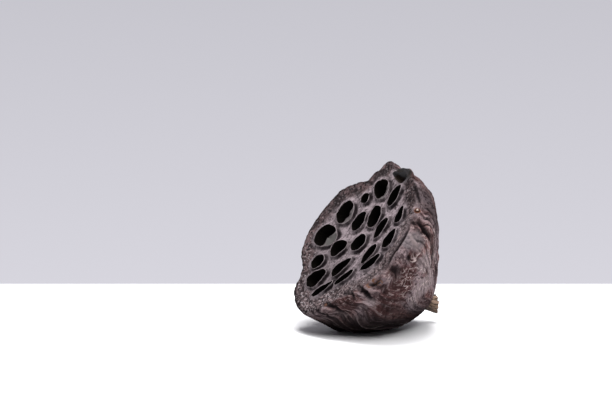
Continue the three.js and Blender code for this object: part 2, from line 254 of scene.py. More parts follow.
# near black painted as shading inside the pits
PIT_SHADE_BLACK = (0.003, 0.0025, 0.0022)
STEM_BROWN = (0.095, 0.056, 0.036)
STEM_TAN = (0.37, 0.25, 0.18)
STEM_DARK = (0.014, 0.008, 0.005)

# Camera: lens over sensor width, viewing angle and distance of the photograph
LENS = 100.0
SENSOR = 36.0
IMAGE = (612, 408)
CAMERA_AZIMUTH = math.radians(-30)
CAMERA_DROP = math.radians(6.5)
CAMERA_DISTANCE = 884.0
AIM_PIXEL = (354, 237)  # where the middle of the rim's plane shows
TABLE_EDGE_PIXEL = 284  # height in the picture at which the table ends

# Table, backdrop and lights
TABLE_HALF_WIDTH = 1500
TABLE_DEPTH = 2200
TABLE_WHITE = (0.9, 0.9, 0.91)
BACKDROP_LOW = (0.68, 0.67, 0.73)
BACKDROP_HIGH = (0.57, 0.563, 0.615)
BACKDROP_RISE = (-0.16, 0.01)  # slope of the view between which it changes from low to high
BACKDROP_TURN = (0.2, 0.9)  # turn of the view between which the room gives way to it
ROOM_GREY = (0.115, 0.115, 0.123)
# Each light: name, spot, size and watts
LIGHTS = [("key", (0, 60, 1150), 600, 16.5), ("front", (-140, -620, 1000), 900, 15)]
LIGHT_AIM = (0, 0, 40)


# Noise
def lattice(x, y, z, seed):
    """Pseudo-random value from -1 to 1 at points of the whole-number grid."""
    n = x * 374761393 + y * 668265263 + z * 1440662683 + seed * 974634777
    n = (n ^ (n >> 13)) * 1274126177
    n = n ^ (n >> 16)
    return (n & 0xFFFF) / 32767.5 - 1.0


def noise(points, scale, seed):
    """Smooth noise from -1 to 1, with features about scale millimetres apart."""
    spot = points / scale
    cell = np.floor(spot)
    t = spot - cell
    t = t * t * t * (t * (6 * t - 15) + 10)
    cell = cell.astype(np.int64)
    total = np.zeros(len(points))
    for corner in range(8):
        step = np.array([corner & 1, corner >> 1 & 1, corner >> 2 & 1])
        weight = np.where(step == 1, t, 1 - t).prod(axis=1)
        at = cell + step
        total += weight * lattice(at[:, 0], at[:, 1], at[:, 2], seed)
    return total


def layers(points, heights):
    """Sum of layers of noise, each given as height, size and seed."""
    return sum(height * noise(points, scale, seed) for height, scale, seed in heights)


def wander(points, scale, seed):
    """Smooth noise in all three directions."""
    return np.stack([noise(points, scale, seed + axis) for axis in range(3)], axis=-1)


def ridges(points, scale, seed):
    """Thin winding ridges, 0 between them and 1 on their crests."""
    return (1 - np.abs(noise(points, scale, seed))) ** 3


def ease(low, high, value):
    """0 below low, 1 above high, smooth between."""
    t = np.clip((value - low) / (high - low), 0, 1)
    return t * t * (3 - 2 * t)


# Angles and rings
def full_turn(count):
    """Even angles once round."""
    return np.arange(count) / count * 2 * np.pi


def facing(angle, degrees):
    """1 at the given angle, falling to -1 on the opposite side."""
    return np.cos(angle - math.radians(degrees))


def circle(radius, angle, height):
    """Points at a radius and an angle, at a height over the circle's plane."""
    return np.stack([radius * np.cos(angle), radius * np.sin(angle), height], axis=-1)


def around(knots, angle):
    """Value at each angle, eased between knots given round the circle in degrees."""
    turn = np.degrees(angle) % 360
    ring = [(knots[-1][0] - 360, knots[-1][1]), *knots, (knots[0][0] + 360, knots[0][1])]
    degrees, values = np.array(ring, float).T
    index = np.clip(np.searchsorted(degrees, turn, side="right"), 1, len(ring) - 1)
    share = (turn - degrees[index - 1]) / (degrees[index] - degrees[index - 1])
    return values[index - 1] + (values[index] - values[index - 1]) * share * share * (3 - 2 * share)


def ring_quads(rings, count):
    """Faces between rings of points that follow each other."""
    start = np.arange(rings - 1)[:, None] * count
    side = np.arange(count)[None, :]
    after = (side + 1) % count
    below = start + count
    corners = [start + side, below + side, below + after, start + after]
    return np.stack(corners, axis=-1).reshape(-1, 4)


# Shape of the pod
def rim_radius(angle):
    return around(RIM_RADIUS, angle) + around(WALL_TOP, angle)


def face_radius(angle):
    return rim_radius(angle) - around(RIM_ROUND, angle)


def face_height(u, v):
    angle = np.arctan2(v, u)
    share = np.minimum(1, np.hypot(u, v) / face_radius(angle))
    return around(RIM_LIFT, angle) * share ** 4 - FACE_DISH * (1 - share ** 2)


def fold_height(angle, depth):
    drift = 1.5 * np.sin(2 * angle + 1) + 0.9 * np.sin(3 * angle + 2.6 * depth)
    fold = FOLD_HEIGHT * np.sin(FOLD_COUNT * angle + drift)
    dent = DENT_DEPTH * np.sin(4 * angle + 5 * depth) * np.sin(3 * angle - 7 * depth + 1)
    return (fold + dent) * np.sin(np.pi * np.clip(depth, 0, 1)) ** 0.7


def face_point(angle, share):
    radius = face_radius(angle) * share
    u = radius * np.cos(angle)
    v = radius * np.sin(angle)
    return np.stack([u, v, face_height(u, v)], axis=-1)


def rim_point(angle, share):
    bend = share * np.pi / 2
    bend_radius = around(RIM_ROUND, angle)
    radius = rim_radius(angle) - bend_radius * (1 - np.sin(bend))
    height = around(RIM_LIFT, angle) - bend_radius * (1 - np.cos(bend))
    return circle(radius, angle, height)


def flank_point(angle, depth):
    fade = (1 - depth) ** LOBE_FADE
    profile = np.maximum(0, np.cos(depth * np.pi / 2)) ** PROFILE_POWER
    lobe = (around(RIM_RADIUS, angle) - BODY_RADIUS) * fade
    shoulder = around(SHOULDER, angle) * np.sin(2 * np.pi * depth)
    radius = NECK_RADIUS + (BODY_RADIUS + lobe - NECK_RADIUS) * profile
    radius = radius + shoulder + fold_height(angle, depth)
    radius = radius + around(WALL_TOP, angle) * (1 - ease(0, WALL_FOOT, depth))
    sag = BELLY_SAG * np.sin(np.pi * depth ** BELLY_POWER) * (1 - np.cos(angle)) / 2
    height = (around(RIM_LIFT, angle) - around(RIM_ROUND, angle)) * fade - BODY_DEPTH * depth
    u = radius * np.cos(angle) - sag + TIP_U * depth
    v = radius * np.sin(angle) + TIP_V * depth
    return np.stack([u, v, height], axis=-1)


def skin_point(angle, place):
    """Points of the smooth skin, from the middle of the face over the rim to the stem."""
    flank = flank_point(angle, np.clip(place, 0, 1))
    rim = rim_point(angle, np.clip(1 - place / RIM_START, 0, 1))
    face = face_point(angle, np.clip(1 + place - RIM_START, 0, 1))
    place = place[..., None]
    return np.where(place >= 0, flank, np.where(place >= RIM_START, rim, face))


def skin_spot(degrees, place):
    """One point of the smooth skin."""
    return skin_point(np.radians(np.array([degrees], float)), np.array([place], float))[0]


def pit_wobble(index, angle):
    """Uneven edge of a mouth, as a share of its size."""
    broad = 0.035 * np.sin(2 * angle + 1.7 * index) + 0.03 * np.sin(3 * angle + 2.9 * index)
    ragged = 2.2 if index == RAGGED else 1.0
    return (broad + 0.015 * np.sin(7 * angle + 4.1 * index)) * ragged


def pit_bite(angle, turn, flap):
    """How much of the mouth is left open beside a flap of dried skin."""
    away = np.abs((angle - NEAR_SIDE + turn + np.pi) % (2 * np.pi) - np.pi)
    return 1 - flap * (1 - ease(FLAP_SPREAD * 0.5, FLAP_SPREAD, away))


def pit_outline(index, angle, widen=0.0, shrink=1.0):
    """Points of a pit's outline from its middle, in the face's plane."""
    pit = PITS[index]
    turn = math.radians(pit.turn)
    size = (1 + pit_wobble(index, angle)) * shrink
    along = ((pit.long + MOUTH_SPREAD) * size + widen) * np.cos(angle)
    across = ((pit.short + MOUTH_SPREAD) * size + widen) * np.sin(angle) * (1 - pit.egg * np.cos(angle))
    return np.stack([along * math.cos(turn) - across * math.sin(turn),
                     along * math.sin(turn) + across * math.cos(turn)], axis=-1)


def pit_offset(index, u, v):
    """Distance of points from the edge of a mouth, under 0 inside it."""
    pit = PITS[index]
    turn = math.radians(pit.turn)

    def level(du, dv):
        along = (du * math.cos(turn) + dv * math.sin(turn)) / (pit.long + MOUTH_SPREAD)
        across = (dv * math.cos(turn) - du * math.sin(turn)) / (pit.short + MOUTH_SPREAD)
        across = across / (1 - pit.egg * np.clip(along, -1, 1))
        return np.hypot(along, across) / (1 + pit_wobble(index, np.arctan2(across, along)))

    du = u - pit.u
    dv = v - pit.v
    nudge = 0.05
    here = level(du, dv)
    slope = np.hypot(level(du + nudge, dv) - here, level(du, dv + nudge) - here) / nudge
    return (here - 1) / np.maximum(slope, 1e-3)


def nearest_mouth(u, v):
    """For each point the nearest pit and the distance from its edge."""
    offsets = np.stack([pit_offset(index, u, v) for index in range(len(PITS))])
    index = offsets.argmin(axis=0)
    return index, offsets[index, np.arange(len(u))]


def inside_edge(points, free):
    """True for points of the face's plane that keep free of its edge."""
    reach = face_radius(np.arctan2(points[:, 1], points[:, 0]))
    return np.hypot(points[:, 0], points[:, 1]) < reach - free


def inside_loop(points, loop):
    """True for points inside a closed loop."""
    ahead = np.roll(loop, -1, axis=0)
    crosses = (loop[None, :, 1] > points[:, 1:2]) != (ahead[None, :, 1] > points[:, 1:2])
    rise = np.where(ahead[:, 1] == loop[:, 1], 1e-9, ahead[:, 1] - loop[:, 1])
    where = loop[None, :, 0] + (points[:, 1:2] - loop[None, :, 1]) / rise * (ahead - loop)[None, :, 0]
    return (crosses & (points[:, 0:1] < where)).sum(axis=1) % 2 == 1


def wall_levels(index):
    """Rings of a pit's wall, from its mouth down."""
    if index == POCKET:
        return POCKET_WALL
    pit = PITS[index]
    levels = [(LIP_DROP, 1.0, 0)]
    if pit.flap:
        levels += [(LIP_DROP + FLAP_SAG * step ** 2, 0.99, step) for step in FLAP_FRONT]
        levels += [(LIP_DROP + drop, 0.99, step) for drop, step in FLAP_BACK]
    else:
        levels += UPPER_WALL
    return levels + MIDDLE_WALL + [(pit.deep * share, shrink, 0) for share, shrink in LOWER_WALL]


# The rim and the flank, as rings of points from the edge of the face to the root of the stem
random = np.random.default_rng(7)
rim_place = RIM_START * (1 - np.arange(RIM_RINGS) / RIM_RINGS)
ring_place = np.concatenate([rim_place, np.linspace(0, 1, FLANK_RINGS)])
ring_count = len(ring_place)
place_grid, angle_grid = np.meshgrid(ring_place, full_turn(AROUND), indexing="ij")
side_base = skin_point(angle_grid, place_grid)
sideways = np.roll(side_base, -1, axis=1) - np.roll(side_base, 1, axis=1)
side_normal = np.cross(np.gradient(side_base, axis=0), sideways)
side_normal /= np.linalg.norm(side_normal, axis=2, keepdims=True)
side_normal[0] = (0, 0, 1)

# Points of the face: its edge, the mouths, rings round the mouths and an even scatter between them
boundary = side_base[0, :, :2]
mouths = []
scattered = []
for index, pit in enumerate(PITS):
    turnabout = full_turn(int(2 * np.pi * math.hypot(pit.long, pit.short) / math.sqrt(2) / MOUTH_STEP))
    middle = np.array([pit.u, pit.v])
    mouths.append(middle + pit_outline(index, turnabout))
    for widen in MOUTH_RINGS:
        ring = middle + pit_outline(index, turnabout + widen, widen)
        owner, offset = nearest_mouth(ring[:, 0], ring[:, 1])
        scattered.append(ring[(owner == index) & (offset > RING_FREE)])
rows = np.arange(-FACE_REACH, FACE_REACH, FACE_STEP * ROW_STEP)
columns = np.arange(-FACE_REACH, FACE_REACH, FACE_STEP)
grid_u, grid_v = np.meshgrid(columns, rows)
grid_u = grid_u + (np.arange(len(rows)) % 2)[:, None] * FACE_STEP / 2
even = np.stack([grid_u.ravel(), grid_v.ravel()], axis=-1)
even = even + random.uniform(-FACE_JITTER, FACE_JITTER, even.shape)
even = even[np.hypot(even[:, 0], even[:, 1]) < max(radius for degrees, radius in RIM_RADIUS)]
even = even[nearest_mouth(even[:, 0], even[:, 1])[1] > MOUTH_FREE]
scattered = np.concatenate([*scattered, even])
scattered = scattered[inside_edge(scattered, EDGE_FREE)]
cells = np.unique(np.floor(scattered / POINT_GAP).astype(np.int64), axis=0, return_index=True)[1]
scattered = scattered[np.sort(cells)]

# Triangles of the face between its pits
flat = np.concatenate([boundary, *mouths, scattered])
loops = []
start = 0
for loop in (boundary, *mouths):
    steps = np.arange(len(loop))
    loops.append(np.stack([start + steps, start + (steps + 1) % len(loop)], axis=-1))
    start += len(loop)
fixed = [tuple(pair) for pair in np.concatenate(loops).tolist()]
found = geometry.delaunay_2d_cdt([Vector(point) for point in flat.tolist()], fixed, [], 0, 1e-4)
plane = np.array([tuple(point) for point in found[0]])
tiles = np.array(found[2])
source = np.array([origin[0] if origin else -1 for origin in found[3]])
middles = plane[tiles].mean(axis=1)
kept = inside_edge(middles, -EDGE_SLACK)
for pit, mouth in zip(PITS, mouths):
    near = np.flatnonzero(np.hypot(middles[:, 0] - pit.u, middles[:, 1] - pit.v) < pit.long * 1.5)
    kept[near[inside_loop(middles[near], mouth)]] = False
tiles = tiles[kept]
tile_corners = plane[tiles]
edge_a = tile_corners[:, 1] - tile_corners[:, 0]
edge_b = tile_corners[:, 2] - tile_corners[:, 0]
clockwise = edge_a[:, 0] * edge_b[:, 1] - edge_a[:, 1] * edge_b[:, 0] < 0
tiles[clockwise] = tiles[clockwise][:, ::-1]
on_rim = (source >= 0) & (source < AROUND)
face_number = np.empty(len(plane), np.int64)
face_number[on_rim] = source[on_rim]
face_number[~on_rim] = ring_count * AROUND + np.arange((~on_rim).sum())
plane_u, plane_v = plane[~on_rim].T

# All of the outer skin together: angle and place of each point, the smooth form and its normal
face_angle = np.arctan2(plane_v, plane_u)
face_place = RIM_START - 1 + np.hypot(plane_u, plane_v) / face_radius(face_angle)
angle = np.concatenate([angle_grid.ravel(), face_angle])
place = np.concatenate([place_grid.ravel(), face_place])
face_base = np.stack([plane_u, plane_v, face_height(plane_u, plane_v)], axis=-1)
base = np.concatenate([side_base.reshape(-1, 3), face_base])
normal = np.concatenate([side_normal.reshape(-1, 3), np.tile((0.0, 0.0, 1.0), (len(face_base), 1))])
owner, offset = nearest_mouth(base[:, 0], base[:, 1])
offset = np.maximum(offset, 0)

# Space in which the flank's skin is stretched along the folds
depth = np.maximum(place, 0)
drift = 0.05 * np.sin(3 * angle + 9 * depth) + 0.03 * np.sin(5 * angle - 13 * depth)
drift = drift * ease(0, 0.1, depth)
low_side = ease(0.55, 0.95, facing(angle, -158))
drift += 0.34 * low_side * np.exp(-np.maximum(place + 0.09, 0) / 0.1)
spread = np.where(place < RIM_START, np.hypot(base[:, 0], base[:, 1]), rim_radius(angle))
run = np.where(place < 0, FACE_RUN * np.maximum(place, RIM_START), FOLD_RUN * place)
stretched = circle(spread, angle + drift, -run)
long_stretched = stretched * (1, 1, 0.45)

# Where the skin is of which kind
flank_start = around(FLANK_START, angle)
on_flank = ease(flank_start, flank_start + 0.05, place)
toward_stem = 1 - ease(0.85, 1.0, place)
margin_start = around(MARGIN_START, angle)
margin = ease(margin_start, margin_start + 0.18, place) * ease(0.8, 2.6, offset) * (1 - on_flank)
net_side = ease(math.cos(math.radians(32)), math.cos(math.radians(10)), facing(angle, -87))


def border_distance(points, seeds):
    """How far points lie inside the cells round the seeds, 0 on the borders between them."""
    tree = kdtree.KDTree(len(seeds))
    for number, seed in enumerate(seeds):
        tree.insert(seed, number)
    tree.balance()
    border = np.empty(len(points))
    for number, point in enumerate(points):
        first, second = tree.find_n(point, 2)
        border[number] = second[2] - first[2]
    return border


# Small lumps of the flank, scattered over its unrolled skin
seed_angle = random.uniform(0, 2 * np.pi, LUMP_COUNT)
seed_run = random.uniform(LUMP_START, LUMP_RUN, LUMP_COUNT)
seeds = circle(BODY_RADIUS, seed_angle, -seed_run)
lump_run = np.where(place < 0, FACE_RUN * place, LUMP_RUN * place)
unrolled = circle(BODY_RADIUS, angle + drift, -lump_run)
unrolled += 0.5 * wander(base, 2.6, 34)
border = np.full(len(base), 2.0)
on_side = place > -0.14
border[on_side] = border_distance(unrolled[on_side], seeds)
lumps = ease(0.0, 1.0, border)

# Wrinkles and fine folds that run from the rim to the stem
wrinkle = 0.6 * ridges(long_stretched, 6.0, 41) + 0.4 * ridges(long_stretched, 3.1, 42)
wrinkle_share = on_flank * toward_stem * (1 - 0.6 * net_side)
fine_fold = np.sin(71 * (angle + drift) + 2.5 * noise(long_stretched, 9.0, 44))
fold_side = np.maximum(ease(0.3, 0.85, facing(angle, -30)), ease(0.75, 0.95, facing(angle, -162)))
fold_share = ease(-0.04, 0.08, place) * toward_stem * fold_side
lump_share = on_flank * toward_stem * (1 - 0.75 * fold_share)

# Creases: lines that sink in between two low banks and are painted darker as shading, or pale lines that
# stand up where the sink is under 0
crease_relief = np.zeros(len(base))
crease_shade = np.zeros(len(base))
crease_pale = np.zeros(len(base))
for stroke, width, sink, shade_strength in CREASES:
    stroke = np.array(stroke, float)
    steps = np.linspace(0, len(stroke) - 1, 24 * (len(stroke) - 1) + 1)
    stroke_angle = np.interp(steps, np.arange(len(stroke)), np.radians(stroke[:, 0]))
    stroke_place = np.interp(steps, np.arange(len(stroke)), stroke[:, 1])
    line = skin_point(stroke_angle, stroke_place)
    line = line + 0.6 * wander(line, 2.8, 83)
    reach = 4 * width
    close = np.all((base > line.min(axis=0) - reach) & (base < line.max(axis=0) + reach), axis=1)
    close = np.flatnonzero(close)
    away = np.linalg.norm(base[close][:, None, :] - line[None, :, :], axis=2)
    nearest = away.argmin(axis=1)
    away = away[np.arange(len(close)), nearest] + 0.25 * width * noise(base[close], 1.6, 81)
    taper = np.sin(np.pi * np.clip(nearest / (len(line) - 1), 0.06, 0.94)) ** 0.5
    width = 1.25 * width
    line_share = np.exp(-(away / width) ** 2) * taper
    bank = np.exp(-((away - 1.9 * width) / width) ** 2) * taper
    crease_relief[close] += -sink * line_share + 0.3 * max(sink, 0) * bank
    # painted shading along the sunk line of each crease
    crease_shading = shade_strength * np.exp(-(away / (1.15 * width)) ** 4) * taper
    crease_shade[close] = np.maximum(crease_shade[close], crease_shading)
    if sink < 0:
        crease_pale[close] = np.maximum(crease_pale[close], line_share)


def patches(spots):
    """Soft patches round places of the skin, with uneven edges."""
    total = np.zeros(len(base))
    for spot_angle, spot_place, radius in spots:
        away = np.linalg.norm(base - skin_spot(spot_angle, spot_place), axis=1) / radius
        away = away + 0.35 * noise(base, radius * 0.7, 82)
        total = np.maximum(total, 1 - ease(0.45, 1.1, away))
    return total


# Relief of the skin: the collars are steep toward the viewer and run out gently on the far side
pit_u, pit_v = np.array([(pit.u, pit.v) for pit in PITS]).T
direction = np.arctan2(base[:, 1] - pit_v[owner], base[:, 0] - pit_u[owner])
near_side = ease(-0.4, 0.7, np.cos(direction - NEAR_SIDE))
sway = noise(np.stack([base[:, 0], base[:, 1], 7.0 * owner], axis=-1), 4.5, 31)
foot = 1.2 + 1.9 * (1 - near_side)
collar = COLLAR_HEIGHT * (0.85 + 0.3 * near_side) * (1 + 0.25 * sway)
collar = collar * np.clip(1 - (offset - LIP_DROP) / foot, 0, 1) ** 1.4 * (1 - on_flank)
collar *= np.where(owner == POCKET, 0.2, 1.0)
relief = collar + crease_relief
relief += layers(base, SKIN_GRAIN)
relief += margin * layers(base, MARGIN_BUMPS)
web = (1 - margin) * (1 - on_flank) * ease(0.8, 2.0, offset)
relief += WEB_RIDGE_HEIGHT * ridges(base, 2.4, 51) * web
relief += WRINKLE_HEIGHT * wrinkle_share * (wrinkle - 0.42)
relief += FINE_FOLD_HEIGHT * fold_share * fine_fold
relief += LUMP_HEIGHT * (lumps - 0.6) * lump_share
outer = base + normal * relief[:, None]

# Painted shading along the creases, on the outer sides of the collars beside the mouths and in the grooves,
# with the darker skin of the far edge and grey patches
uneven = offset + 0.3 * noise(base, 1.2, 33)
# painted shading on the outer side of each collar that faces the viewer, away from the light
collar_shade = ease(0.12, 0.35, offset) * (1 - ease(0.8, 2.2, uneven)) * (1 - on_flank)
collar_shade = collar_shade * near_side * (owner != POCKET)
collar_shade = collar_shade * np.clip(0.8 + 0.7 * sway, 0, 1)
far_edge = ease(-0.09, -0.03, place) * (1 - ease(0.02, 0.10, place))
far_edge = far_edge * ease(-0.4, 0.4, facing(angle, 90))
shade_and_dark_skin_parts = [
    1 - (1 - crease_shade) ** 2,
    1 - (1 - collar_shade) ** 1.7,
    # painted shading in the grooves of the wrinkles, between the lumps and in the valleys of the fine folds
    0.6 * wrinkle_share * (1 - ease(0.08, 0.34, wrinkle)),
    0.4 * lump_share * (1 - ease(0.05, 0.45, border)),
    (0.8 - 0.4 * low_side) * fold_share * ease(0.3, 0.95, -fine_fold),
    # the far edge and the grey patches are darker skin, not shading
    0.8 * far_edge,
    0.65 * patches(GREY_PATCHES),
]

# Masks that tell the material which kind of skin is where, and where shading is painted
nub_angle, nub_place, nub_reach = NUB
nub_away = np.linalg.norm(base - skin_spot(nub_angle, nub_place), axis=1)
torn_wall = ease(0.3, 1.5, around(WALL_TOP, angle)) * ease(-0.18, -0.08, place)
torn_wall = torn_wall * (1 - ease(-0.03, 0.0, place))
MASKS = "flank lip margin tone grit dim shade vein net red pale ash rust nub flap pocket inside"
masks = {name: [] for name in MASKS.split()}


def add_masks(count, **values):
    """Adds the values of the next points to every mask, 0 where none is given."""
    for name, blocks in masks.items():
        blocks.append(np.broadcast_to(values.get(name, 0.0), count).astype(np.float32))


add_masks(
    len(base),
    flank=on_flank,
    lip=np.exp(-(offset / 0.22) ** 2) * (1 - on_flank) * (0.35 + 0.65 * near_side) * (0.7 + 0.5 * sway),
    margin=margin,
    tone=around(MARGIN_TONE, angle),
    grit=around(GRIT, angle),
    # painted shading: the webs darken toward the left of the face as the camera sees it
    dim=ease(-2.0, 26.0, 0.5 * base[:, 1] - 0.87 * base[:, 0]),
    # painted shading together with the darker skin of the far edge and grey patches
    shade=np.clip(np.maximum.reduce(shade_and_dark_skin_parts), 0, 1),
    vein=np.clip(0.6 * ease(0.9, 1.5, border) * on_flank * (0.4 + 0.6 * net_side) + crease_pale, 0, 1),
    net=0.9 * on_flank * net_side * ease(0.04, 0.15, place) * (1 - ease(0.5, 0.7, place)),
    red=patches(RED_PATCHES) * on_flank,
    pale=patches(PALE_PATCHES),
    ash=patches(ASH_PATCHES),
    rust=patches(RUST_SPOTS),
    nub=np.clip(1 - nub_away / nub_reach, 0, 1),
    pocket=np.clip(1.6 * torn_wall, 0, 1),
    # the torn wall also takes 60% of the pits' near black
    inside=0.6 * torn_wall,
)

# One list of points and faces: the outer skin and its end at the stem, then the walls of the pits
points = [outer, np.array([[TIP_U, TIP_V, -BODY_DEPTH]])]
add_masks(1, flank=1.0)
tip_number = len(outer)
point_count = tip_number + 1
last_ring = (ring_count - 1) * AROUND + np.arange(AROUND)
tip_fan = np.stack([np.full(AROUND, tip_number), np.roll(last_ring, -1), last_ring], axis=-1)
quads = [ring_quads(ring_count, AROUND)]
triangles = [tip_fan, face_number[tiles]]
place_of_flat = np.full(len(flat), -1)
place_of_flat[source[source >= 0]] = np.flatnonzero(source >= 0)
first = AROUND
for index, (pit, mouth) in enumerate(zip(PITS, mouths)):
    count = len(mouth)
    turnabout = full_turn(count)
    pit_turn = math.radians(pit.turn)
    upper = face_number[place_of_flat[first:first + count]]
    first += count
    edge_height = outer[upper, 2]
    hanging = 1 - pit_bite(turnabout, pit_turn, 1.0)
    in_pocket = float(index == POCKET)
    for drop, shrink, flap_share in wall_levels(index):
        opened = pit_bite(turnabout, pit_turn, pit.flap * flap_share)
        outline = pit_outline(index, turnabout, shrink=shrink) * opened[:, None]
        lean = 1 - PIT_LEAN * drop / BODY_DEPTH
        ring = np.stack([
            pit.u * lean + outline[:, 0],
            pit.v * lean + outline[:, 1],
            edge_height - drop,
        ], axis=-1)
        points.append(ring + 0.10 * wander(ring, 2.2, 61))
        lower = point_count + np.arange(count)
        point_count += count
        quads.append(np.stack([upper, lower, np.roll(lower, -1), np.roll(upper, -1)], axis=-1))
        on_flap = pit.flap > 0 and drop <= LIP_DROP + FLAP_SAG
        # toward its edge the flap gives way to the pits' painted shading
        fade = flap_share ** FLAP_FADE if pit.flap < WIDE_FLAP else 0.0
        papery = hanging * (1 - fade) * on_flap
        add_masks(
            count,
            # painted shading: the pit walls are near black below the lip
            inside=ease(0.05, 0.3, drop) * (1 - papery) * (1 - in_pocket),
            flap=papery,
            lip=0.6 * (drop < 0.2) * (1 - in_pocket),
            pocket=in_pocket,
        )
        upper = lower
    points.append(np.array([[pit.u * lean, pit.v * lean, edge_height.mean() - pit.deep]]))
    triangles.append(np.stack([upper, np.full(count, point_count), np.roll(upper, -1)], axis=-1))
    point_count += 1
    add_masks(1, inside=1.0 - in_pocket, pocket=in_pocket)

points = np.concatenate(points)
masks = {name: np.concatenate(blocks) for name, blocks in masks.items()}


def to_row(local):
    """From the pod's own frame to the row frame, in millimetres."""
    up_face = np.array([math.sin(AXIS_RISE), 0, math.cos(AXIS_RISE)])
    out_of_face = np.array([-math.cos(AXIS_RISE), 0, math.sin(AXIS_RISE)])
    return PLACE + local[:, 0:1] * up_face + local[:, 1:2] * (0, 1, 0) + local[:, 2:3] * out_of_face


row = to_row(points)
row[:, 2] = np.maximum(row[:, 2], 0)  # the belly is pressed flat where it rests
# Painted shading: the flank darkens toward the floor under the belly, reaching higher on the side to the
# camera's left
far_left = ease(10, 32, 0.5 * row[:, 1] - 0.866 * row[:, 0])  # toward the picture's left
masks["under"] = (1 - ease(5.0, 26.0 - 10.0 * far_left, row[:, 2])) * masks["flank"]
skin_space = points.copy()
skin_space[:len(stretched)] = stretched
masks["skin_space"] = skin_space


def make_object(name, positions, faces, attributes, material):
    """Mesh object from positions in millimetres, with smooth shading and point attributes."""
    mesh = bpy.data.meshes.new(name)
    mesh.from_pydata((positions * MM).tolist(), [], faces)
    for key, values in attributes.items():
        kind = "FLOAT" if values.ndim == 1 else "FLOAT_VECTOR"
        layer = mesh.attributes.new(key, kind, "POINT")
        layer.data.foreach_set("value" if kind == "FLOAT" else "vector", values.astype(np.float32).ravel())
    mesh.polygons.foreach_set("use_smooth", np.ones(len(mesh.polygons), bool))
    mesh.validate()
    mesh.update()
    made = bpy.data.objects.new(name, mesh)
    bpy.context.scene.collection.objects.link(made)
    mesh.materials.append(material)
    return made


# Materials
class Nodes:
    """Short way to lay and join the shader nodes of a material or a world."""

    def __init__(self, owner, shader):
        owner.use_nodes = True
        self.owner = owner
        self.tree = owner.node_tree
        self.shader = self.tree.nodes[shader]

    def fill(self, node, inputs):
        """Writes numbers and colours to a node's inputs, and joins the outputs of other nodes to them."""
        for key, value in inputs.items():
            if isinstance(value, bpy.types.NodeSocket):
                self.tree.links.new(value, node.inputs[key])
            else:
                node.inputs[key].default_value = value

    def add(self, kind, inputs, **settings):
        """New node with its settings and inputs. Gives its outputs."""
        node = self.tree.nodes.new(kind)
        for key, value in settings.items():
            setattr(node, key, value)
        self.fill(node, inputs)
        return node.outputs

    def mask(self, name):
        return self.add("ShaderNodeAttribute", {}, attribute_name=name)["Fac"]

    def vector(self, name):
        return self.add("ShaderNodeAttribute", {}, attribute_name=name)["Vector"]

    def scaled(self, space, scale):
        return self.add("ShaderNodeVectorMath", {0: space, 1: scale}, operation="MULTIPLY")[0]

    def texture(self, space, scale, detail=4.0, rough=0.55, warp=0.0):
        inputs = {"Vector": space, "Scale": scale, "Detail": detail, "Roughness": rough, "Distortion": warp}
        return self.add("ShaderNodeTexNoise", inputs)["Fac"]

    def lines(self, space, scale, thickness, detail=2.0, warp=0.0):
        """Thin winding lines, 1 on the line and 0 beside it."""
        waves = self.texture(space, scale, detail, 0.5, warp)
        level = self.add("ShaderNodeMath", {0: waves, 1: 0.5}, operation="SUBTRACT")[0]
        size = self.add("ShaderNodeMath", {0: level}, operation="ABSOLUTE")[0]
        return self.ramp(size, thickness, 0.0)

    def dots(self, space, scale):
        """Distance from the nearest of many scattered dots."""
        return self.add("ShaderNodeTexVoronoi", {"Vector": space, "Scale": scale})["Distance"]

    def ramp(self, value, low, high, to_low=0.0, to_high=1.0, kind="SMOOTHSTEP"):
        """Value moved from one range to another, and held at its ends."""
        inputs = {"Value": value, "From Min": low, "From Max": high, "To Min": to_low, "To Max": to_high}
        return self.add("ShaderNodeMapRange", inputs, interpolation_type=kind)["Result"]

    def times(self, first, second):
        return self.add("ShaderNodeMath", {0: first, 1: second}, operation="MULTIPLY")[0]

    def blend(self, share, first, second):
        """Colour between first and second: either may be a colour or another blend."""
        first, second = [(*side, 1) if isinstance(side, tuple) else side for side in (first, second)]
        return self.add("ShaderNodeMix", {0: share, 6: first, 7: second}, data_type="RGBA")[2]

    def coats(self, colour, coats):
        """Colour under a list of coats, each given as its share and its colour."""
        for share, coat in coats:
            colour = self.blend(share, colour, coat)
        return colour

    def bump(self, height, strength, distance, **under):
        """Normal of a surface roughened by a height, over another Normal where one is given."""
        inputs = {"Height": height, "Strength": strength, "Distance": distance, **under}
        return self.add("ShaderNodeBump", inputs)["Normal"]


